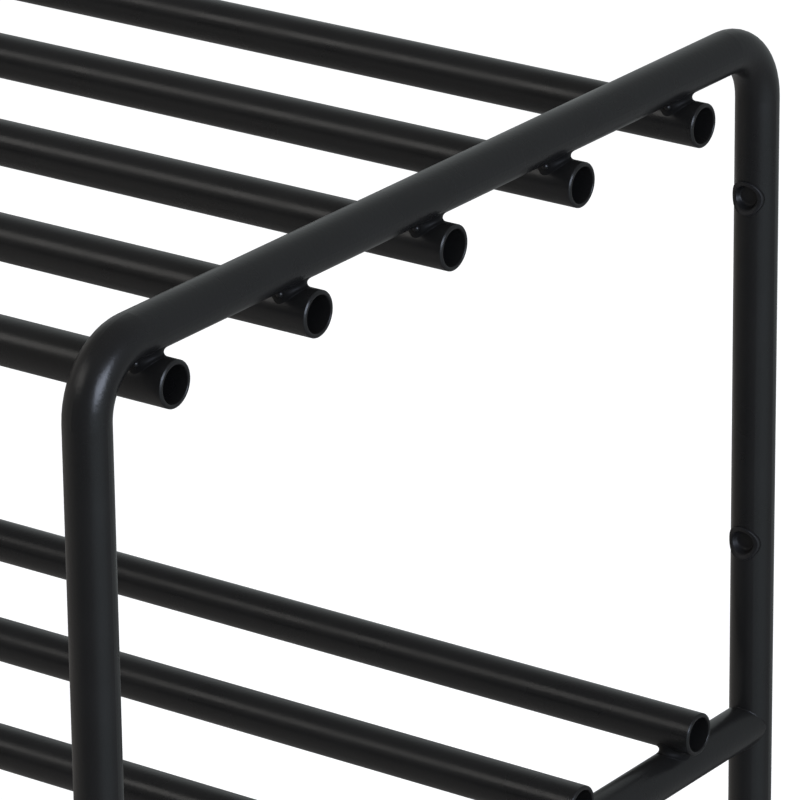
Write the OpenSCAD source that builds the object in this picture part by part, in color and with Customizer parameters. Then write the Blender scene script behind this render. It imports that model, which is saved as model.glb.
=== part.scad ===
// Two-tier shoe rack of welded steel tube. Each end is one tube bent into an upside-down U.
// A coped rail crosses each end frame lower down. Open-ended slats hang under the upper bars
// and lie on the lower rails. X runs along the slats, Y from front to back and Z up, and the
// origin is on the floor under the middle of the rack.

/* [Rack] */
// Length over the slat ends
rack_l = 700; // [400:1:1200]
// Depth over the outside of the legs
rack_d = 300; // [220:1:450]
// Height from the floor to the top of the upper bars
rack_h = 355; // [320:1:700]

/* [End frames] */
// Outside diameter of the bent frame tube
frame_tube_d = 12; // [11:0.5:16]
// Wall of the frame tube
frame_wall = 1.2; // [0.8:0.1:1.6]
// Radius of the two corner bends, on the tube's axis
bend_r = 16.5; // [12:0.5:40]

/* [Shelves] */
// Number of slats in each shelf
slat_count = 5; // [3:1:7]
// Outside diameter of a slat
slat_d = 12; // [10:0.5:16]
// Wall of a slat
slat_wall = 1.2; // [0.8:0.1:1.6]
// Flat left between the two rounded edges of a slat's sawn end
slat_end_flat = 0.2; // [0.1:0.05:0.5]
// How far the slats reach past the axis of the end frames
slat_overhang = 8.4; // [7:0.1:30]
// Front slat's axis behind the front legs' axis
front_inset = 23; // [20:0.5:50]
// Back slat's axis before the rear legs' axis
rear_inset = 39; // [20:0.5:60]
// Outside diameter of a lower rail
rail_d = 12; // [10:0.5:12]
// Wall of a lower rail
rail_wall = 1.2; // [0.8:0.1:1.6]
// Drop from the upper bars' axis to the lower rails' axis
shelf_drop = 199; // [170:0.5:260]

/* [Welds] */
// Gap that the weld fills where a slat crosses a bar
root_gap = 0.3; // [0.1:0.05:0.6]
// Radius of the weld between a slat and a bar
weld_r = 4; // [3:0.1:4.5]
// Depth of the hollow waist round that weld
weld_waist = 0.5; // [0.2:0.05:0.6]
// Radius of the hollow waist
weld_waist_r = 2.6; // [2:0.1:3.2]
// Gap between a rail's coped end and its leg
cope_gap = 0.15; // [0.1:0.05:0.3]
// Leg length of the weld along a coped end
cope_weld = 0.9; // [0.6:0.1:1.5]
// Half the width of that weld across the rail
cope_weld_half_w = 4.2; // [3:0.1:4.6]

/* [Foot glides] */
// Height of a glide below the end of the leg
glide_h = 3; // [2:0.5:8]
// Chamfer round the sole of a glide
glide_chamfer = 0.6; // [0.2:0.1:1.2]
// Length of a glide's stem inside the leg
glide_stem_l = 16; // [10:1:30]
// Diameter that the stem loses between its gripping rings
glide_ring_depth = 0.8; // [0.4:0.1:1.2]
// Height of one gripping ring
glide_ring_h = 2; // [1:0.5:3]
// Gripping rings on a stem
glide_rings = 3; // [2:1:4]
// Gap round a gripping ring
glide_fit = 0.05; // [0.02:0.01:0.1]

/* [Wall fixing] */
// Upper fixing hole's axis below the upper bar's axis
fix_drop = 43.7; // [35:0.1:60]
// Distance between the two fixing holes of a rear leg
fix_spacing = 100; // [60:1:110]
// Diameter of the screw hole in the back of a rear leg
screw_hole_d = 4.5; // [3.5:0.1:5.5]
// Diameter of the access hole in the front of a rear leg
access_hole_d = 7; // [6:0.1:7.2]
// Diameter of a cover plug's head
plug_head_d = 10; // [8.2:0.1:10.6]
// Rise of the middle of the head over the tube
plug_crown = 0.55; // [0.45:0.05:1]
// Rise of the head's edge over the tube
plug_edge = 0.35; // [0.2:0.05:0.4]
// Gap between the head and the tube that it sits on
plug_seat_gap = 0.05; // [0.02:0.01:0.2]
// Gap round the plug's stem in the access hole
plug_fit = 0.1; // [0.05:0.01:0.2]
// Wall of the plug's hollow stem
plug_wall = 0.9; // [0.6:0.1:1.2]
// Reach of the barb past the stem
plug_barb = 0.2; // [0.1:0.05:0.3]
// Length of the barb along the stem
plug_barb_l = 1.6; // [1:0.1:2]
// Width of the slots that split the stem into prongs
plug_slot_w = 1.2; // [0.8:0.1:1.6]

/* [Hidden] */
$fn = 96;
wide_arc_fn = 1440;
cut_over = 1;

frame_r = frame_tube_d / 2;
frame_bore_r = frame_r - frame_wall;
slat_r = slat_d / 2;
slat_edge_r = (slat_wall - slat_end_flat) / 2;
rail_r = rail_d / 2;

frame_x = rack_l / 2 - slat_overhang;
leg_y = rack_d / 2 - frame_r;
bar_z = rack_h - frame_r;
rail_z = bar_z - shelf_drop;
slat_pitch = (2 * leg_y - front_inset - rear_inset) / (slat_count - 1);
top_slat_z = bar_z - frame_r - root_gap - slat_r;
lower_slat_z = rail_z + rail_r + root_gap + slat_r;

access_r = access_hole_d / 2;
plug_stem_r = access_r - plug_fit;
plug_barb_r = plug_stem_r + plug_barb;
// Depth, from the front of the tube, at which the barb clears the inside of the wall
plug_barb_y = frame_r - sqrt(pow(frame_bore_r, 2) - pow(plug_barb_r + plug_fit, 2)) + plug_fit;
plug_stem_l = plug_barb_y + plug_barb_l;

frame_colour = "#232628";
slat_colour = "#1f2021";
weld_colour = "#1a1b1c";
plastic_colour = "#141415";

SIDES = [["right", 1], ["left", -1]];
ENDS = [["front", -1], ["rear", 1]];
FIXINGS = [["upper", 0], ["lower", 1]];

// Depth of a slat's axis, counted from the front
function slat_y(i) = -leg_y + front_inset + (i - 1) * slat_pitch;

// Height of a fixing hole's axis, 0 for the upper and 1 for the lower one
function fix_z(row) = bar_z - fix_drop - row * fix_spacing;

// Round bars along one axis, centred at the origin
module rod_x(r, l) {
  rotate([0, 90, 0]) cylinder(r = r, h = l, center = true);
}

module rod_y(r, l) {
  rotate([90, 0, 0]) cylinder(r = r, h = l, center = true);
}

// A quarter bend in the YZ plane, from straight up to straight along +Y
module bend(r) {
  translate([0, bend_r, 0])
    rotate([0, 90, 0])
      rotate([0, 0, 180])
        rotate_extrude(angle = 90) translate([bend_r, 0]) circle(r = r);
}

// Upside-down U along the axis of an end frame, its legs starting at foot_z
module u_path(r, foot_z) {
  leg_top = bar_z - bend_r;
  for (end = [-1, 1])
    scale([1, end, 1]) translate([0, -leg_y, 0]) {
      translate([0, 0, foot_z]) cylinder(r = r, h = leg_top - foot_z);
      translate([0, 0, leg_top]) bend(r);
    }
  translate([0, 0, bar_z]) rod_y(r, 2 * (leg_y - bend_r));
}

// Screw hole in the back wall and access hole in the front wall of a rear leg
module fixing_holes() {
  for (row = [0, 1])
    translate([0, leg_y, fix_z(row)]) {
      rotate([-90, 0, 0]) cylinder(d = screw_hole_d, h = frame_r + cut_over);
      rotate([90, 0, 0]) cylinder(d = access_hole_d, h = frame_r + cut_over);
    }
}

module end_frame(side) {
  color(frame_colour)
    translate([side * frame_x, 0, 0])
      difference() {
        u_path(frame_r, glide_h);
        u_path(frame_bore_r, glide_h - cut_over);
        fixing_holes();
      }
}

// Lower rail, its ends coped to the legs
module shelf_rail(side) {
  color(frame_colour)
    translate([side * frame_x, 0, rail_z])
      difference() {
        rod_y(rail_r, 2 * leg_y);
        rod_y(rail_r - rail_wall, 2 * leg_y + 2 * cut_over);
        for (end = [-1, 1])
          translate([0, end * leg_y, 0])
            cylinder(r = frame_r + cope_gap, h = rail_d + 2 * cut_over, center = true);
      }
}

// Wall of a slat from the axis out, with its four edges rounded
module slat_wall_profile() {
  core_l = rack_l - 2 * slat_edge_r;
  translate([slat_r - slat_wall / 2, 0]) {
    square([slat_end_flat, rack_l], center = true);
    square([slat_wall, core_l], center = true);
    for (x = [-1, 1], y = [-1, 1])
      translate([x * slat_end_flat / 2, y * core_l / 2]) circle(r = slat_edge_r);
  }
}

module slat(i, z) {
  color(slat_colour)
    translate([0, slat_y(i), z])
      rotate([0, 90, 0])
        rotate_extrude() slat_wall_profile();
}

// Weld between a bar above, along Y, and a slat below, along X
module slat_weld(bar_r) {
  difference() {
    cylinder(r = weld_r, h = 2 * weld_r, center = true);
    rotate_extrude()
      translate([weld_r - weld_waist + weld_waist_r, 0]) circle(r = weld_waist_r);
    translate([0, 0, root_gap / 2 + bar_r]) rod_y(bar_r, 3 * weld_r);
    translate([0, 0, -root_gap / 2 - slat_r]) rod_x(slat_r, 3 * weld_r);
  }
}

module top_slat_welds(side) {
  color(weld_colour)
    for (i = [1:slat_count])
      translate([side * frame_x, slat_y(i), bar_z - frame_r - root_gap / 2])
        slat_weld(frame_r);
}

module lower_slat_welds(side) {
  color(weld_colour)
    for (i = [1:slat_count])
      translate([side * frame_x, slat_y(i), rail_z + rail_r + root_gap / 2])
        rotate([180, 0, 0]) slat_weld(rail_r);
}

// Weld in the corner over a rail that runs off along +Y from a leg
module cope_bead() {
  reach = frame_r + 2 * cope_weld;
  difference() {
    intersection() {
      translate([-cope_weld_half_w, 0, 0]) cube([2 * cope_weld_half_w, reach, reach]);
      cylinder(r = frame_r + cope_weld, h = reach);
      rod_y(rail_r + cope_weld, 3 * reach);
    }
    cylinder(r = frame_r, h = 3 * reach, center = true);
    rod_y(rail_r, 4 * reach);
  }
}

module rail_welds(side) {
  color(weld_colour)
    for (end = [-1, 1], face = [-1, 1])
      translate([side * frame_x, end * leg_y, rail_z])
        scale([1, -end, face]) cope_bead();
}

// Push-in glide that closes the end of a leg
module foot_glide(side, end) {
  ring_r = frame_bore_r - glide_fit;
  core_r = ring_r - glide_ring_depth / 2;
  ring_step = glide_stem_l / glide_rings;
  color(plastic_colour)
    translate([side * frame_x, end * leg_y, 0]) {
      cylinder(r1 = frame_r - glide_chamfer, r2 = frame_r, h = glide_chamfer);
      translate([0, 0, glide_chamfer]) cylinder(r = frame_r, h = glide_h - glide_chamfer);
      cylinder(r = core_r, h = glide_h + glide_stem_l);
      for (i = [0:glide_rings - 1])
        translate([0, 0, glide_h + i * ring_step + (ring_step - glide_ring_h) / 2])
          cylinder(r1 = ring_r, r2 = core_r, h = glide_ring_h);
    }
}

// Head of a cover plug, its crown along +Z and z = 0 on the front of the tube along Y. It is a
// piece of a barrel, whose belly and staves are arcs through the crown and the edge of the head.
module plug_head() {
  head_r = plug_head_d / 2;
  belly_sag = frame_r + plug_crown - sqrt(pow(frame_r + plug_edge, 2) - pow(head_r, 2));
  belly_r = (pow(head_r, 2) + pow(belly_sag, 2)) / (2 * belly_sag);
  stave_sag = plug_crown - plug_edge;
  stave_r = (pow(head_r, 2) + pow(stave_sag, 2)) / (2 * stave_sag);
  intersection() {
    translate([0, 0, -frame_r]) cylinder(r = head_r, h = frame_r + plug_crown);
    difference() {
      translate([0, 0, plug_crown - belly_r])
        rotate([90, 0, 0])
          rotate_extrude()
            intersection() {
              translate([belly_r - stave_r, 0]) circle(r = stave_r, $fn = wide_arc_fn);
              translate([0, -head_r]) square([belly_r, 2 * head_r]);
            }
      translate([0, 0, -frame_r]) rod_y(frame_r + plug_seat_gap, 3 * head_r);
    }
  }
}

// Cover plug of an access hole, placed as its head is
module plug_body() {
  plug_head();
  difference() {
    union() {
      translate([0, 0, -plug_stem_l]) cylinder(r = plug_stem_r, h = plug_stem_l);
      translate([0, 0, -plug_stem_l])
        cylinder(r1 = plug_stem_r - plug_barb, r2 = plug_barb_r, h = plug_barb_l);
    }
    translate([0, 0, -plug_stem_l - cut_over])
      cylinder(r = plug_stem_r - plug_wall, h = plug_stem_l + cut_over - plug_wall);
    for (turn = [45, 135])
      rotate([0, 0, turn])
        translate([-plug_head_d / 2, -plug_slot_w / 2, -plug_stem_l - cut_over])
          cube([plug_head_d, plug_slot_w, plug_stem_l + cut_over - frame_wall]);
  }
}

module wall_plug(side, row) {
  color(plastic_colour)
    translate([side * frame_x, leg_y - frame_r, fix_z(row)])
      rotate([90, 0, 0]) plug_body();
}

for (s = SIDES) {
  end_frame(s[1]);
  shelf_rail(s[1]);
  top_slat_welds(s[1]);
  lower_slat_welds(s[1]);
  rail_welds(s[1]);
  for (e = ENDS)
    foot_glide(s[1], e[1]);
  for (f = FIXINGS)
    wall_plug(s[1], f[1]);
}
for (i = [1:slat_count]) {
  slat(i, top_slat_z);
  slat(i, lower_slat_z);
}
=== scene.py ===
"""Studio scene of a two-tier shoe rack, welded from steel tube and powder coated in satin black.

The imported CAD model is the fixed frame. X runs along the slats, Y from the front to the back and
Z up, in metres, with the origin on the floor under the middle of the rack. Sizes whose names end
in mm are in millimetres.
"""

from __future__ import annotations

import logging
import math
from collections.abc import Iterable
from dataclasses import dataclass
from enum import Enum

import bmesh
import bpy
from mathutils import Matrix, Vector

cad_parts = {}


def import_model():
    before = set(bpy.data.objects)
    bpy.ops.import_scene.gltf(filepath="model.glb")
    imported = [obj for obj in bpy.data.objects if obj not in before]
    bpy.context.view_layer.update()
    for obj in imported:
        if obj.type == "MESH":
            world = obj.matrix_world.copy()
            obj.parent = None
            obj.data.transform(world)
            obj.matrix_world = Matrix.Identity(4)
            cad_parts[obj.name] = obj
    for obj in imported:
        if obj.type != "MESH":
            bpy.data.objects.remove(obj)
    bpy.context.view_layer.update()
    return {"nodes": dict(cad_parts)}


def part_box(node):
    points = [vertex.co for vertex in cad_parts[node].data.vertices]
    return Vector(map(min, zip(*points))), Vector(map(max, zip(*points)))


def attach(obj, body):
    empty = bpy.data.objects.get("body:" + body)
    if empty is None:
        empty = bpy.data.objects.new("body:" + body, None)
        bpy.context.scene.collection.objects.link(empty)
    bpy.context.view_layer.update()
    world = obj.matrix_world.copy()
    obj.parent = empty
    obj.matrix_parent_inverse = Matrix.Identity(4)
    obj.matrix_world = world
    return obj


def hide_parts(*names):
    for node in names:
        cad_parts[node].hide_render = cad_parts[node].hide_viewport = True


LOG = logging.getLogger("shoe_rack")
ROOT = "root"
MM = 0.001
MERGE_M = 1e-7
WHITE = "#ffffff"
# Sockets of a mix node that belong to its colours.
MIX_A, MIX_B, MIX_RESULT = 6, 7, 2


class Slot(Enum):
    """Material slots of the record."""

    FRAME = "frame_coat"
    SLAT = "slat_coat"
    WELD = "weld_coat"
    GLIDE = "glide_plastic"
    PLUG = "plug_plastic"


class Side(Enum):
    """Ends of the rack, by the word that their nodes start with."""

    RIGHT = "right"
    LEFT = "left"


class Tier(Enum):
    """Shelves of the rack, by the word in their nodes' names."""

    TOP = "top"
    LOWER = "lower"


def linear_colour(hex_code: str) -> tuple[float, float, float, float]:
    """Turns an sRGB hex colour into the linear one that shaders take.

    Args:
        hex_code: six hex digits after a hash sign.

    Returns:
        Red, green, blue and an alpha of 1.
    """
    channels = [int(hex_code[i : i + 2], 16) / 255 for i in (1, 3, 5)]
    linear = [c / 12.92 if c <= 0.04045 else ((c + 0.055) / 1.055) ** 2.4 for c in channels]
    return (linear[0], linear[1], linear[2], 1.0)


def add_node(
    tree: bpy.types.NodeTree,
    kind: str,
    inputs: dict[str | int, object] | None = None,
    **settings: object,
) -> bpy.types.Node:
    """Adds one node with its settings and links.

    Args:
        tree: the node tree that takes the node.
        kind: Blender's name of the node's type.
        inputs: a value, or the output socket to link from, for each named input.
        settings: values of the node's own properties.

    Returns:
        The new node.
    """
    node = tree.nodes.new(kind)
    for name, value in settings.items():
        setattr(node, name, value)
    for name, value in (inputs or {}).items():
        if isinstance(value, bpy.types.NodeSocket):
            tree.links.new(value, node.inputs[name])
        else:
            node.inputs[name].default_value = value
    return node


def make_piece(
    name: str,
    shape: bmesh.types.BMesh,
    material: bpy.types.Material,
    nodes: Iterable[str],
) -> None:
    """Turns a finished shape into a piece that rides on the rack and stands for CAD nodes.

    Args:
        name: the piece's name.
        shape: the shape in its place, which is used up.
        material: its finish.
        nodes: the CAD nodes that it replaces.
    """
    bmesh.ops.remove_doubles(shape, verts=shape.verts[:], dist=MERGE_M)
    bmesh.ops.recalc_face_normals(shape, faces=shape.faces[:])
    for face in shape.faces:
        face.smooth = True
    mesh = bpy.data.meshes.new(name)
    shape.to_mesh(mesh)
    shape.free()
    mesh.materials.append(material)
    piece = bpy.data.objects.new(name, mesh)
    bpy.context.scene.collection.objects.link(piece)
    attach(piece, ROOT)
    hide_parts(*nodes)
    LOG.info("%s: %d faces", name, len(mesh.polygons))


def unit_tube(rings: int, around: int) -> bmesh.types.BMesh:
    """Makes an open tube of radius 1 about Z, from z = 0 to z = 1.

    Args:
        rings: number of rings of vertices.
        around: vertices in a ring.

    Returns:
        The tube as a new shape.
    """
    shape = bmesh.new()
    line = [shape.verts.new((1.0, 0.0, i / (rings - 1))) for i in range(rings)]
    edges = [shape.edges.new(pair) for pair in zip(line, line[1:])]
    bmesh.ops.spin(
        shape,
        geom=line + edges,
        axis=(0, 0, 1),
        angle=math.tau,
        steps=around,
        use_merge=True,
    )
    return shape


def close_ends(shape: bmesh.types.BMesh) -> None:
    """Closes the open ends of a tube, each with one face."""
    rims = [edge for edge in shape.edges if edge.is_boundary]
    bmesh.ops.edgeloop_fill(shape, edges=rims)


def rounded(corners: list[Vector], share: float, steps: int) -> list[Vector]:
    """Rounds the corners of a line.

    Args:
        corners: the line's points.
        share: how much of the two parts beside a corner its rounding takes.
        steps: number of pieces in a rounding.

    Returns:
        The points of the rounded line.
    """
    line = [corners[0]]
    for before, corner, after in zip(corners, corners[1:], corners[2:]):
        start = corner.lerp(before, share)
        end = corner.lerp(after, share)
        for i in range(steps + 1):
            t = i / steps
            line.append(start.lerp(corner, t).lerp(corner.lerp(end, t), t))
    line.append(corners[-1])
    return line


def add_copy(target: bmesh.types.BMesh, shape: bmesh.types.BMesh, place: Matrix) -> None:
    """Adds a placed copy of one shape to another.

    Args:
        target: the shape that grows.
        shape: the shape to copy.
        place: where the copy goes.
    """
    mesh = bpy.data.meshes.new("copy")
    shape.to_mesh(mesh)
    mesh.transform(place)
    target.from_mesh(mesh)
    bpy.data.meshes.remove(mesh)


@dataclass(frozen=True)
class Finish:
    """A dark surface with a fine relief, whose colour and gloss drift a little over a piece.

    The drift follows a soft noise, and drift_range is where most of that noise lies.
    """

    name: str
    deep: str
    pale: str
    roughness: float
    roughness_drift: float
    drift_mm: float
    drift_detail: float
    relief_mm: float
    relief_height_mm: float
    ior: float
    specular: float = 0.3
    drift_range: tuple[float, float] = (0.3, 0.7)

    def relief(
        self, tree: bpy.types.NodeTree, place: bpy.types.NodeSocket
    ) -> bpy.types.NodeSocket:
        """Adds the nodes of the relief's pattern.

        Args:
            tree: the material's node tree.
            place: socket of the place on the object.

        Returns:
            Socket of the relief's height, from about 0 to 1.
        """
        raise NotImplementedError

    def material(self) -> bpy.types.Material:
        """Builds the finish's material.

        Returns:
            The new material.
        """
        made = bpy.data.materials.new(self.name)
        made.use_nodes = True
        tree = made.node_tree
        tree.nodes.clear()
        place = add_node(tree, "ShaderNodeTexCoord").outputs["Object"]
        drift = add_node(
            tree,
            "ShaderNodeTexNoise",
            {"Vector": place, "Scale": 1 / (self.drift_mm * MM), "Detail": self.drift_detail},
        ).outputs["Fac"]
        colour = add_node(
            tree,
            "ShaderNodeMix",
            {
                "Factor": drift,
                MIX_A: linear_colour(self.deep),
                MIX_B: linear_colour(self.pale),
            },
            data_type="RGBA",
        )
        gloss = add_node(
            tree,
            "ShaderNodeMapRange",
            {
                "Value": drift,
                "From Min": self.drift_range[0],
                "From Max": self.drift_range[1],
                "To Min": self.roughness - self.roughness_drift,
                "To Max": self.roughness + self.roughness_drift,
            },
        )
        bump = add_node(
            tree,
            "ShaderNodeBump",
            {
                "Height": self.relief(tree, place),
                "Strength": 1.0,
                "Distance": self.relief_height_mm * MM,
            },
        )
        shader = add_node(
            tree,
            "ShaderNodeBsdfPrincipled",
            {
                "Base Color": colour.outputs[MIX_RESULT],
                "Roughness": gloss.outputs["Result"],
                "Normal": bump.outputs["Normal"],
                "IOR": self.ior,
                "Specular IOR Level": self.specular,
            },
        )
        add_node(tree, "ShaderNodeOutputMaterial", {"Surface": shader.outputs["BSDF"]})
        return made


@dataclass(frozen=True)
class PowderCoat(Finish):
    """Polyester powder, sprayed on steel and baked into a satin skin.

    The skin has a fine orange peel that mottles its highlights, and a gloss that drifts a little.
    """

    roughness: float = 0.3
    roughness_drift: float = 0.05
    drift_mm: float = 18.0
    drift_detail: float = 3.0
    relief_mm: float = 1.1
    relief_height_mm: float = 0.028
    ior: float = 1.5
    peel_detail: float = 1.0

    def relief(
        self, tree: bpy.types.NodeTree, place: bpy.types.NodeSocket
    ) -> bpy.types.NodeSocket:
        """Adds the orange peel, soft bumps that run into each other.

        Args:
            tree: the material's node tree.
            place: socket of the place on the object.

        Returns:
            Socket of the peel's height.
        """
        peel = add_node(
            tree,
            "ShaderNodeTexNoise",
            {"Vector": place, "Scale": 1 / (self.relief_mm * MM), "Detail": self.peel_detail},
        )
        return peel.outputs["Fac"]


@dataclass(frozen=True)
class MouldedPlastic(Finish):
    """Polyethylene, moulded in a spark-eroded cavity.

    It is softer than the coat beside it: a dull, even sheen over a fine pebbled grain. A real grain
    is finer, and this one is as coarse as it needs to be to show.
    """

    roughness: float = 0.42
    roughness_drift: float = 0.06
    drift_mm: float = 6.0
    drift_detail: float = 2.0
    relief_mm: float = 0.5
    relief_height_mm: float = 0.01
    ior: float = 1.51

    def relief(
        self, tree: bpy.types.NodeTree, place: bpy.types.NodeSocket
    ) -> bpy.types.NodeSocket:
        """Adds the pebbled grain, small round pits side by side.

        Args:
            tree: the material's node tree.
            place: socket of the place on the object.

        Returns:
            Socket of the grain's height.
        """
        grain = add_node(
            tree,
            "ShaderNodeTexVoronoi",
            {"Vector": place, "Scale": 1 / (self.relief_mm * MM)},
            feature="SMOOTH_F1",
        )
        return grain.outputs["Distance"]


# The welds' coat is darker than the tubes' as painted shade of the hollow necks between bar and
# slat, and it is duller. The plugs are duller than the glides' soles.
SLOT_FINISHES: dict[Slot, Finish] = {
    Slot.FRAME: PowderCoat("powder_coat_frame", "#131313", "#171717"),
    Slot.SLAT: PowderCoat("powder_coat_slat", "#131313", "#171717"),
    Slot.WELD: PowderCoat("powder_coat_weld", "#101010", "#151515", 0.5, specular=0.1),
    Slot.GLIDE: MouldedPlastic("polyethylene_glide", "#101011", "#161617"),
    Slot.PLUG: MouldedPlastic("polyethylene_plug", "#121213", "#161617", 0.46),
}


@dataclass
class Finishes:
    """The finished materials, one for each slot of the record."""

    by_slot: dict[Slot, bpy.types.Material]

    def dress(self, slot: Slot, nodes: Iterable[bpy.types.Object]) -> None:
        """Gives CAD nodes the finish of a slot in place of their plain colour.

        Args:
            slot: the slot of the record.
            nodes: the CAD nodes' objects.
        """
        for node in nodes:
            node.data.materials.clear()
            node.data.materials.append(self.by_slot[slot])
            LOG.info("%s: %s", node.name, slot.value)


@dataclass
class Shelf:
    """Open tubes that cross the two end frames, with a weld at each crossing."""

    tier: Tier
    finishes: Finishes
    bars: dict[Side, str]
    count: int = 5
    slat_wall_mm: float = 1.2
    rim_bevel_mm: float = 0.65
    rim_bevel_deg: float = 33.0
    rim_outer_r_mm: float = 0.12
    rim_inner_r_mm: float = 0.35
    rim_steps: int = 6
    around: int = 128
    rim_loop_mm: float = 2.0
    weld_slat_reach_mm: float = 4.6
    weld_bar_reach_mm: float = 5.4
    weld_pull_mm: float = 1.4
    weld_sink_mm: float = 0.4
    weld_rings: int = 15
    weld_around: int = 72
    drop_r_mm: float = 0.95
    drop_lift_mm: float = 0.75
    drop_turn_deg: float = 43.0
    drop_rings: int = 24

    def slat_node(self, number: int) -> str:
        """Gives the name of a slat, counted from the front."""
        return f"{self.tier.value}_slat_{number}"

    def bar_line(self, side: Side) -> tuple[float, float, float]:
        """Finds the bar that the slats are welded to at one end of the rack.

        Args:
            side: the end of the rack.

        Returns:
            The bar's place along X, its height and its radius.
        """
        low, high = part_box(self.bars[side])
        radius = (high.x - low.x) / 2
        return (low.x + high.x) / 2, high.z - radius, radius

    def build(self) -> None:
        """Makes the slats and their welds."""
        for number in range(1, self.count + 1):
            self.build_slat(number)
        for side in Side:
            self.build_welds(side)

    def build_slat(self, number: int) -> None:
        """Turns one slat: the section of its wall, with rounded edges, spun round its axis.

        Args:
            number: which slat, counted from the front.
        """
        node = self.slat_node(number)
        low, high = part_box(node)
        half = (high.x - low.x) / 2
        outer = (high.z - low.z) / 2
        inner = outer - self.slat_wall_mm * MM
        slope = math.radians(self.rim_bevel_deg)
        land = outer - self.rim_bevel_mm * MM * math.cos(slope)
        shoulder = half - self.rim_bevel_mm * MM * math.sin(slope)
        corners = (
            (-half, inner),
            (half, inner),
            (half, land),
            (shoulder, outer),
            (-shoulder, outer),
            (-half, land),
        )
        shape = bmesh.new()
        wall = [shape.verts.new((x, 0.0, r)) for x, r in corners]
        shape.faces.new(wall)
        for edges, radius in ((wall[:2], self.rim_inner_r_mm), (wall[2:], self.rim_outer_r_mm)):
            bmesh.ops.bevel(
                shape,
                geom=edges,
                offset=radius * MM,
                affect="VERTICES",
                segments=self.rim_steps,
                profile=0.5,
                material=-1,
            )
        bmesh.ops.delete(shape, geom=shape.faces[:], context="FACES_ONLY")
        bmesh.ops.spin(
            shape,
            geom=shape.verts[:] + shape.edges[:],
            axis=(1, 0, 0),
            angle=math.tau,
            steps=self.around,
            use_merge=True,
        )
        for x in (-half + self.rim_loop_mm * MM, half - self.rim_loop_mm * MM):
            bmesh.ops.bisect_plane(
                shape,
                geom=shape.verts[:] + shape.edges[:] + shape.faces[:],
                plane_co=(x, 0, 0),
                plane_no=(1, 0, 0),
            )
        centre = (low + high) / 2
        bmesh.ops.translate(shape, verts=shape.verts[:], vec=centre)
        if self.tier is Tier.TOP:
            for side in Side:
                self.add_drop(shape, centre, outer, side)
        make_piece(f"tube_{node}", shape, self.finishes.by_slot[Slot.SLAT], [node])

    def build_welds(self, side: Side) -> None:
        """Makes the welds of the shelf at one end of the rack.

        Args:
            side: the end of the rack.
        """
        node = f"{side.value}_{self.tier.value}_slat_welds"
        bar_x, bar_z, bar_r = self.bar_line(side)
        weld_group = bmesh.new()
        for number in range(1, self.count + 1):
            low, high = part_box(self.slat_node(number))
            slat = (low + high) / 2
            slat_r = (high.z - low.z) / 2
            gap = abs(bar_z - slat.z) - bar_r - slat_r
            neck = self.weld_neck(bar_r, slat_r, gap)
            turn = Matrix.Identity(4) if bar_z > slat.z else Matrix.Rotation(math.pi, 4, "X")
            root_z = slat.z + math.copysign(slat_r + gap / 2, bar_z - slat.z)
            add_copy(weld_group, neck, Matrix.Translation((bar_x, slat.y, root_z)) @ turn)
            neck.free()
        coat = self.finishes.by_slot[Slot.WELD]
        make_piece(f"bead_{node}", weld_group, coat, [node])

    def add_drop(self, slat: bmesh.types.BMesh, centre: Vector, slat_r: float, side: Side) -> None:
        """Adds the small drop that the torch leaves in front, where a weld ends over a slat.

        Args:
            slat: the slat's shape, which grows.
            centre: the slat's middle.
            slat_r: its radius.
            side: the end of the rack.
        """
        drop = bmesh.new()
        bmesh.ops.create_uvsphere(
            drop,
            u_segments=2 * self.drop_rings,
            v_segments=self.drop_rings,
            radius=self.drop_r_mm * MM,
        )
        bar_x = self.bar_line(side)[0]
        spot = Matrix.Translation((bar_x, centre.y, centre.z))
        roll = Matrix.Rotation(math.radians(self.drop_turn_deg), 4, "X")
        lift = Matrix.Translation((0, 0, slat_r + self.drop_lift_mm * MM))
        add_copy(slat, drop, spot @ roll @ lift)
        drop.free()

    def weld_neck(self, bar_r: float, slat_r: float, gap: float) -> bmesh.types.BMesh:
        """Draws a hollow neck that runs smoothly from a bar above, along Y, to a slat below.

        Args:
            bar_r: radius of the bar.
            slat_r: radius of the slat, along X.
            gap: room between the two tubes.

        Returns:
            The closed neck round Z, with z = 0 halfway between the tubes.
        """
        pull = self.weld_pull_mm * MM
        sink = self.weld_sink_mm * MM
        neck = unit_tube(self.weld_rings, self.weld_around)
        # The first and the last ring lie sunk in the tubes, and the others follow a curve.
        for vert in neck.verts:
            across, along = vert.co.x, vert.co.y
            step = round(vert.co.z * (self.weld_rings - 1))
            t = (step - 1) / (self.weld_rings - 3)
            reach = MM / math.hypot(
                across / self.weld_slat_reach_mm, along / self.weld_bar_reach_mm
            )
            toes = []
            for tube_r, share in ((bar_r, across), (slat_r, along)):
                depth = math.sqrt(tube_r**2 - (reach * share) ** 2)
                slope = reach * share**2 / depth
                toes.append((gap / 2 + tube_r - depth, slope))
            (top, top_slope), (bottom, bottom_slope) = toes
            start = Vector((reach, top))
            end = Vector((reach, -bottom))
            start_pull = start - pull * Vector((1, top_slope)).normalized()
            end_pull = end - pull * Vector((1, -bottom_slope)).normalized()
            if step == 0:
                spot = start + Vector((-sink, sink))
            elif step == self.weld_rings - 1:
                spot = end + Vector((-sink, -sink))
            else:
                spot = (
                    (1 - t) ** 3 * start
                    + 3 * t * (1 - t) ** 2 * start_pull
                    + 3 * t**2 * (1 - t) * end_pull
                    + t**3 * end
                )
            vert.co = Vector((across * spot.x, along * spot.x, spot.y))
        close_ends(neck)
        return neck


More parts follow.
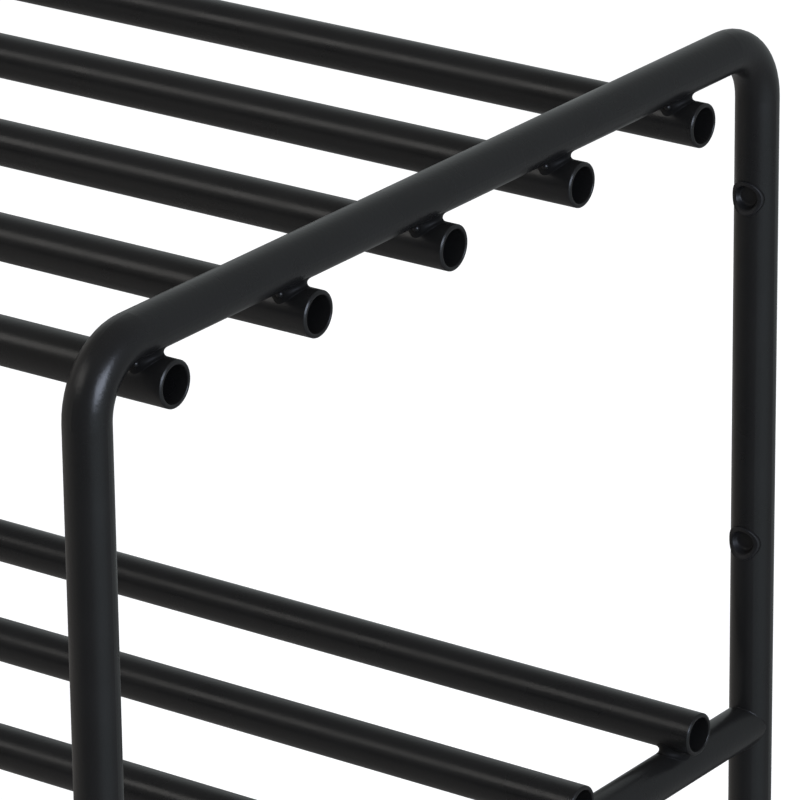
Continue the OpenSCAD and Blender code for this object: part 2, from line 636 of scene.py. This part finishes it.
@dataclass
class EndFrame:
    """One bent tube with its coped rail, the welds of the rail, its plugs and its glides."""

    side: Side
    finishes: Finishes
    bead_above_mm: float = 0.14
    bead_below_mm: float = 1.0
    bead_toe_mm: float = 0.14
    bead_margin_mm: float = 0.2
    bead_sink_mm: float = 0.35
    bead_rings: int = 41
    bead_arc: int = 9
    bowl_d_mm: float = 5.3
    bowl_depth_mm: float = 2.5
    mouth_d_mm: float = 6.9
    mouth_rise_mm: float = 0.03
    crest_d_mm: float = 9.5
    crest_rise_mm: float = 0.6
    head_d_mm: float = 9.9
    corner_share: float = 0.3
    stem_d_mm: float = 6.8
    stem_l_mm: float = 4.6
    barb_mm: float = 0.2
    barb_l_mm: float = 1.6
    curve_steps: int = 8
    plug_around: int = 128

    def node(self, part: str) -> str:
        """Gives the name of one of this end's nodes."""
        return f"{self.side.value}_{part}"

    def build(self, nodes: dict[str, bpy.types.Object]) -> None:
        """Dresses the tubes and glides and makes the beads and plugs.

        Args:
            nodes: the CAD nodes' objects by name.
        """
        tubes = (self.node("end_frame"), self.node("shelf_rail"))
        self.finishes.dress(Slot.FRAME, [nodes[name] for name in tubes])
        glides = (self.node("front_foot_glide"), self.node("rear_foot_glide"))
        self.finishes.dress(Slot.GLIDE, [nodes[name] for name in glides])
        self.build_beads()
        for row in ("upper", "lower"):
            self.build_plug(row)

    def build_beads(self) -> None:
        """Makes the fillets at the coped ends of the rail, smooth under the frame's coat."""
        node = self.node("rail_welds")
        low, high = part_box(self.node("end_frame"))
        leg_r = (high.x - low.x) / 2
        leg_x = (low.x + high.x) / 2
        rail_low, rail_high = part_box(self.node("shelf_rail"))
        rail_r = (rail_high.z - rail_low.z) / 2
        rail_z = (rail_low.z + rail_high.z) / 2
        beads = bmesh.new()
        for face, leg_mm in ((1, self.bead_above_mm), (-1, self.bead_below_mm)):
            fillet = self.corner_fillet(leg_r, rail_r, leg_mm * MM)
            for leg_y, inward in ((low.y + leg_r, 1), (high.y - leg_r, -1)):
                mirror = Matrix.Diagonal((1, inward, face, 1))
                add_copy(beads, fillet, Matrix.Translation((leg_x, leg_y, rail_z)) @ mirror)
            fillet.free()
        coat = self.finishes.by_slot[Slot.FRAME]
        make_piece(f"bead_{node}", beads, coat, [node])

    def corner_fillet(self, leg_r: float, rail_r: float, throat: float) -> bmesh.types.BMesh:
        """Draws the hollow fillet in the corner over a rail that runs off along +Y from a leg.

        Args:
            leg_r: radius of the upright leg at the origin.
            rail_r: radius of the rail.
            throat: radius of the fillet in the middle.

        Returns:
            The closed fillet along X.
        """
        toe = self.bead_toe_mm * MM
        sink = self.bead_sink_mm * MM
        half_w = min(leg_r, rail_r) - self.bead_margin_mm * MM
        # Three points of each section lie sunk behind its arc.
        around = self.bead_arc + 3
        fillet = unit_tube(self.bead_rings, around)
        for vert in fillet.verts:
            turn = round(math.atan2(vert.co.y, vert.co.x) / math.tau * around) % around
            across = 2 * vert.co.z - 1
            x = half_w * across
            corner = Vector((math.sqrt(leg_r**2 - x**2), math.sqrt(rail_r**2 - x**2)))
            size = toe + (throat - toe) * math.sqrt(1 - across**2)
            if turn < self.bead_arc:
                angle = math.pi + math.pi / 2 * turn / (self.bead_arc - 1)
                swing = Vector((math.cos(angle), math.sin(angle)))
                spot = corner + size * (Vector((1, 1)) + swing)
            else:
                buried = ((size, -sink), (-sink, -sink), (-sink, size))
                spot = corner + Vector(buried[turn - self.bead_arc])
            vert.co = Vector((x, spot.x, spot.y))
        close_ends(fillet)
        return fillet

    def plug_profile(self) -> list[Vector]:
        """Lists the rings of a plug, from the floor of its bowl to the end of its stem.

        Returns:
            For each ring its radius, its height over the front of the tube, both in metres, and how
            far it follows the tube's curve, from 0 to 1.
        """
        bowl = Vector((self.bowl_d_mm / 2, -self.bowl_depth_mm, 0))
        middle = Vector((bowl.x / self.curve_steps, bowl.y, 0))
        mouth = Vector((self.mouth_d_mm / 2, self.mouth_rise_mm, 1))
        crest = Vector((self.crest_d_mm / 2, self.crest_rise_mm, 1))
        edge = Vector((self.head_d_mm / 2, 0, 1))
        rings = rounded([middle, bowl, mouth, crest, edge], self.corner_share, self.curve_steps)
        stem_r = self.stem_d_mm / 2
        barb_z = self.barb_l_mm - self.stem_l_mm
        rings.append(Vector((stem_r, 0, 1)))
        rings.append(Vector((stem_r, barb_z, 0)))
        rings.append(Vector((stem_r + self.barb_mm, barb_z, 0)))
        rings.append(Vector((stem_r - self.barb_mm, -self.stem_l_mm, 0)))
        return [Vector((ring.x * MM, ring.y * MM, ring.z)) for ring in rings]

    def build_plug(self, row: str) -> None:
        """Makes a cover plug with a hollowed head whose rim follows the front of the rear leg.

        Args:
            row: which of the two plugs.
        """
        node = self.node(f"{row}_wall_plug")
        low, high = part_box(node)
        frame_low, frame_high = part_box(self.node("end_frame"))
        leg_r = (frame_high.x - frame_low.x) / 2
        leg_x = (frame_low.x + frame_high.x) / 2
        profile = self.plug_profile()
        shape = unit_tube(len(profile), self.plug_around)
        for vert in shape.verts:
            radius, height, follow = profile[round(vert.co.z * (len(profile) - 1))]
            x, y = vert.co.x * radius, vert.co.y * radius
            outer = leg_r + height
            drop = outer - math.sqrt(outer**2 - x**2) if follow else 0.0
            vert.co = Vector((x, y, height - follow * drop))
        close_ends(shape)
        front = Vector((leg_x, frame_high.y - 2 * leg_r, (low.z + high.z) / 2))
        place = Matrix.Translation(front) @ Matrix.Rotation(math.pi / 2, 4, "X")
        bmesh.ops.transform(shape, matrix=place, verts=shape.verts[:])
        make_piece(f"cover_{node}", shape, self.finishes.by_slot[Slot.PLUG], [node])


@dataclass(frozen=True)
class Panel:
    """A pale wall or, with a negative strength, a dark card, seen only in the gloss of the coat."""

    towards: tuple[float, float, float]
    inner_deg: float
    outer_deg: float
    strength: float
    colour: str

    def glow(self, tree: bpy.types.NodeTree, view: bpy.types.NodeSocket) -> bpy.types.NodeSocket:
        """Adds the nodes of this panel's light to a world.

        Args:
            tree: the world's node tree.
            view: socket of the direction that is looked along.

        Returns:
            Socket of the panel's light in that direction.
        """
        facing = add_node(
            tree,
            "ShaderNodeVectorMath",
            {0: view, 1: Vector(self.towards).normalized()},
            operation="DOT_PRODUCT",
        )
        share = add_node(
            tree,
            "ShaderNodeMapRange",
            {
                "Value": facing.outputs["Value"],
                "From Min": math.cos(math.radians(self.outer_deg)),
                "From Max": math.cos(math.radians(self.inner_deg)),
                "To Max": self.strength,
            },
            interpolation_type="SMOOTHSTEP",
        )
        tint = linear_colour(self.colour)[:3]
        light = add_node(
            tree,
            "ShaderNodeVectorMath",
            {0: tint, "Scale": share.outputs["Result"]},
            operation="SCALE",
        )
        return light.outputs["Vector"]


@dataclass(frozen=True)
class Lamp:
    """A rectangular soft box that faces the rack."""

    name: str
    towards: tuple[float, float, float]
    away: float
    width: float
    height: float
    radiance: float
    colour: str
    in_gloss: bool = True
    aim: tuple[float, float, float] = (0.2, 0.0, 0.25)

    def hang(self) -> None:
        """Makes the lamp."""
        light = bpy.data.lights.new(self.name, "AREA")
        light.shape = "RECTANGLE"
        light.size, light.size_y = self.width, self.height
        light.energy = self.radiance * math.pi * self.width * self.height
        light.color = linear_colour(self.colour)[:3]
        box = bpy.data.objects.new(self.name, light)
        bpy.context.scene.collection.objects.link(box)
        direction = Vector(self.towards).normalized()
        box.location = Vector(self.aim) + direction * self.away
        box.rotation_mode = "QUATERNION"
        box.rotation_quaternion = (-direction).to_track_quat("-Z", "Y")
        box.visible_camera = False
        box.visible_glossy = self.in_gloss


@dataclass(frozen=True)
class Studio:
    """White cove, soft boxes and the panels that the coat mirrors."""

    lamps: tuple[Lamp, ...]
    panels: tuple[Panel, ...]
    room: float = 0.2
    fill: float = 0.6
    floor_radius: float = 4.0
    floor_sides: int = 96
    floor_colour: str = "#e6e6e6"
    floor_roughness: float = 0.9
    floor_specular: float = 0.1
    floor_glow: float = 0.4

    def build(self) -> None:
        """Makes the world, the floor and the lamps."""
        self.world()
        self.floor()
        for lamp in self.lamps:
            lamp.hang()

    def world(self) -> None:
        """Gives the world its white backdrop, its fill light and its panels."""
        world = bpy.data.worlds.new("studio")
        bpy.context.scene.world = world
        world.use_nodes = True
        tree = world.node_tree
        tree.nodes.clear()
        path = add_node(tree, "ShaderNodeLightPath")
        view = add_node(tree, "ShaderNodeTexCoord").outputs["Generated"]
        mirrored: tuple[float, ...] | bpy.types.NodeSocket = (self.room,) * 3
        for panel in self.panels:
            parts = {0: mirrored, 1: panel.glow(tree, view)}
            total = add_node(tree, "ShaderNodeVectorMath", parts, operation="ADD")
            mirrored = total.outputs["Vector"]
        shiny = add_node(
            tree,
            "ShaderNodeMath",
            {0: path.outputs["Is Glossy Ray"], 1: path.outputs["Is Transmission Ray"]},
            operation="MAXIMUM",
        )
        around = add_node(
            tree,
            "ShaderNodeMix",
            {"Factor": shiny.outputs[0], MIX_A: (self.fill,) * 3 + (1.0,), MIX_B: mirrored},
            data_type="RGBA",
        )
        seen = add_node(
            tree,
            "ShaderNodeMix",
            {
                "Factor": path.outputs["Is Camera Ray"],
                MIX_A: around.outputs[MIX_RESULT],
                MIX_B: linear_colour(WHITE),
            },
            data_type="RGBA",
        )
        light = add_node(tree, "ShaderNodeBackground", {"Color": seen.outputs[MIX_RESULT]})
        add_node(tree, "ShaderNodeOutputWorld", {"Surface": light.outputs["Background"]})

    def floor(self) -> None:
        """Lays a pale floor that looks white and keeps the shadow of the rack."""
        paper = bpy.data.materials.new("matt_white_paper")
        paper.use_nodes = True
        tree = paper.node_tree
        tree.nodes.clear()
        path = add_node(tree, "ShaderNodeLightPath")
        glow = add_node(
            tree,
            "ShaderNodeMath",
            {0: path.outputs["Is Camera Ray"], 1: self.floor_glow},
            operation="MULTIPLY",
        )
        shader = add_node(
            tree,
            "ShaderNodeBsdfPrincipled",
            {
                "Base Color": linear_colour(self.floor_colour),
                "Roughness": self.floor_roughness,
                "Specular IOR Level": self.floor_specular,
                "Emission Color": linear_colour(WHITE),
                "Emission Strength": glow.outputs[0],
            },
        )
        add_node(tree, "ShaderNodeOutputMaterial", {"Surface": shader.outputs["BSDF"]})
        shape = bmesh.new()
        bmesh.ops.create_circle(
            shape, cap_ends=True, segments=self.floor_sides, radius=self.floor_radius
        )
        mesh = bpy.data.meshes.new("studio_floor")
        shape.to_mesh(mesh)
        shape.free()
        mesh.materials.append(paper)
        floor = bpy.data.objects.new("studio_floor", mesh)
        bpy.context.scene.collection.objects.link(floor)
        floor.visible_glossy = False


# Lamps and panels stand where the streaks of light on the tubes ask for them.
LAMPS = (
    Lamp("left_softbox", (-0.39, -0.67, 0.57), 2.2, 1.5, 0.8, 2.2, "#fffcf8"),
    Lamp("right_softbox", (0.92, -0.28, 0.275), 2.2, 1.2, 0.9, 11.0, "#dfe9ff"),
    Lamp("top_softbox", (0.1, -0.15, 1.0), 2.4, 2.2, 1.6, 1.2, WHITE, in_gloss=False),
)
PANELS = (
    Panel((-0.05, 0.95, 0.25), 10, 75, 0.19, "#e2f4f6"),
    Panel((-0.58, 0.72, 0.33), 5, 35, 0.22, "#f2f8f8"),
    Panel((0.96, -0.12, -0.24), 5, 45, 0.42, "#d9eef2"),
    Panel((-0.95, -0.2, -0.2), 10, 65, 0.2, "#fff4ea"),
    Panel((0.0, -0.97, 0.2), 10, 60, -0.12, WHITE),
)


@dataclass(frozen=True)
class Viewpoint:
    """Where the rack is photographed from."""

    lens_mm: float = 278.34
    sensor_mm: float = 36.0
    clip_start: float = 0.05
    place: tuple[float, float, float] = (1.18274, -1.18195, 0.85800)
    azimuth: float = 35.906
    elevation: float = 21.311
    roll: float = -0.648

    def camera(self) -> None:
        """Makes the scene's camera."""
        lens = bpy.data.cameras.new("photo_view")
        lens.lens = self.lens_mm
        lens.sensor_width = self.sensor_mm
        lens.clip_start = self.clip_start
        eye = bpy.data.objects.new("photo_view", lens)
        bpy.context.scene.collection.objects.link(eye)
        turn = (
            Matrix.Rotation(math.radians(self.azimuth), 4, "Z")
            @ Matrix.Rotation(math.radians(90 - self.elevation), 4, "X")
            @ Matrix.Rotation(math.radians(self.roll), 4, "Z")
        )
        eye.matrix_world = Matrix.Translation(self.place) @ turn
        bpy.context.scene.camera = eye


def main() -> None:
    """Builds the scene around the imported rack."""
    logging.basicConfig(level=logging.INFO)
    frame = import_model()
    bpy.context.scene.view_settings.view_transform = "Standard"
    Viewpoint().camera()
    Studio(LAMPS, PANELS).build()
    finishes = Finishes({slot: finish.material() for slot, finish in SLOT_FINISHES.items()})
    top_bars = {side: f"{side.value}_end_frame" for side in Side}
    lower_bars = {side: f"{side.value}_shelf_rail" for side in Side}
    Shelf(Tier.TOP, finishes, top_bars).build()
    Shelf(Tier.LOWER, finishes, lower_bars).build()
    for side in Side:
        EndFrame(side, finishes).build(frame["nodes"])


if __name__ == "__main__":
    main()
